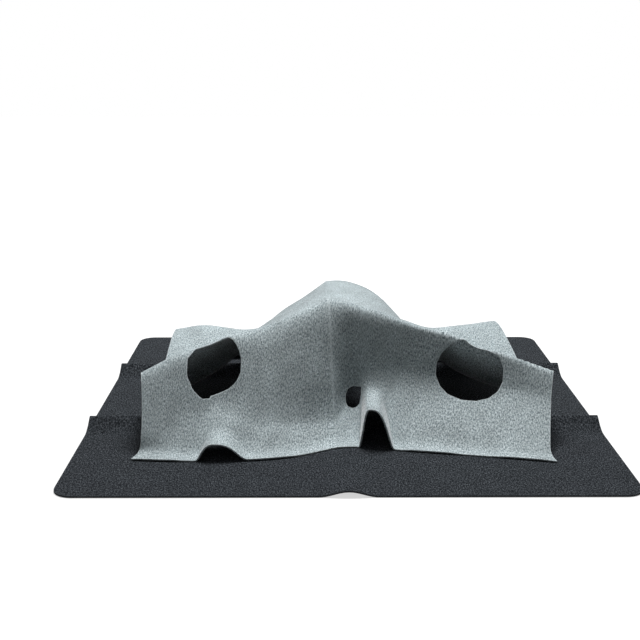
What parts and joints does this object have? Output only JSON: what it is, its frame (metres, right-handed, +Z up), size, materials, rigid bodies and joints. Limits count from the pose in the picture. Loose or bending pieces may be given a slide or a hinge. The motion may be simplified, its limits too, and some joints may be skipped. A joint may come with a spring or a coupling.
{
  "type": "cat activity play mat",
  "caption": "Flat square felt base mat with a square felt rug on it, rippled into a hill with tunnels and arches and pierced by round holes for a cat to play through.",
  "frame": {"origin": "middle of the base mat's underside, on the floor", "axes": "+X to the mat's right, +Y to its back, +Z up"},
  "size_m": [0.99, 0.99, 0.251],
  "materials": {
    "grey_felt": "needle-punched felt, cool light grey melange",
    "charcoal_felt": "needle-punched felt, charcoal with fine lighter fibres",
    "grip_rubber": "matte anti-slip layer",
    "hook_tape": "woven nylon hook tape"
  },
  "bodies": {
    "base_mat": {"base_grip": "grip_rubber", "base_felt": "charcoal_felt"},
    "rear_hem": {"hook_rear_1": "hook_tape", "hook_rear_2": "hook_tape", "hook_rear_3": "hook_tape", "hook_rear_4": "hook_tape"},
    "rug": {"upper_rug": "grey_felt", "hook_front_1": "hook_tape", "hook_front_2": "hook_tape", "hook_front_3": "hook_tape", "hook_front_4": "hook_tape"}
  },
  "joints": [
    {"name": "rug_lift_off", "type": "slide", "parent": "base_mat", "child": "rear_hem", "axis": [0, 0, 1], "range_m": [0, 0.3]},
    {"name": "rug_fold_back", "type": "hinge", "parent": "rear_hem", "child": "rug", "pos_m": [0, 0.4615, 0.0063], "axis": [-1, 0, 0], "range_deg": [0, 90]}
  ]
}
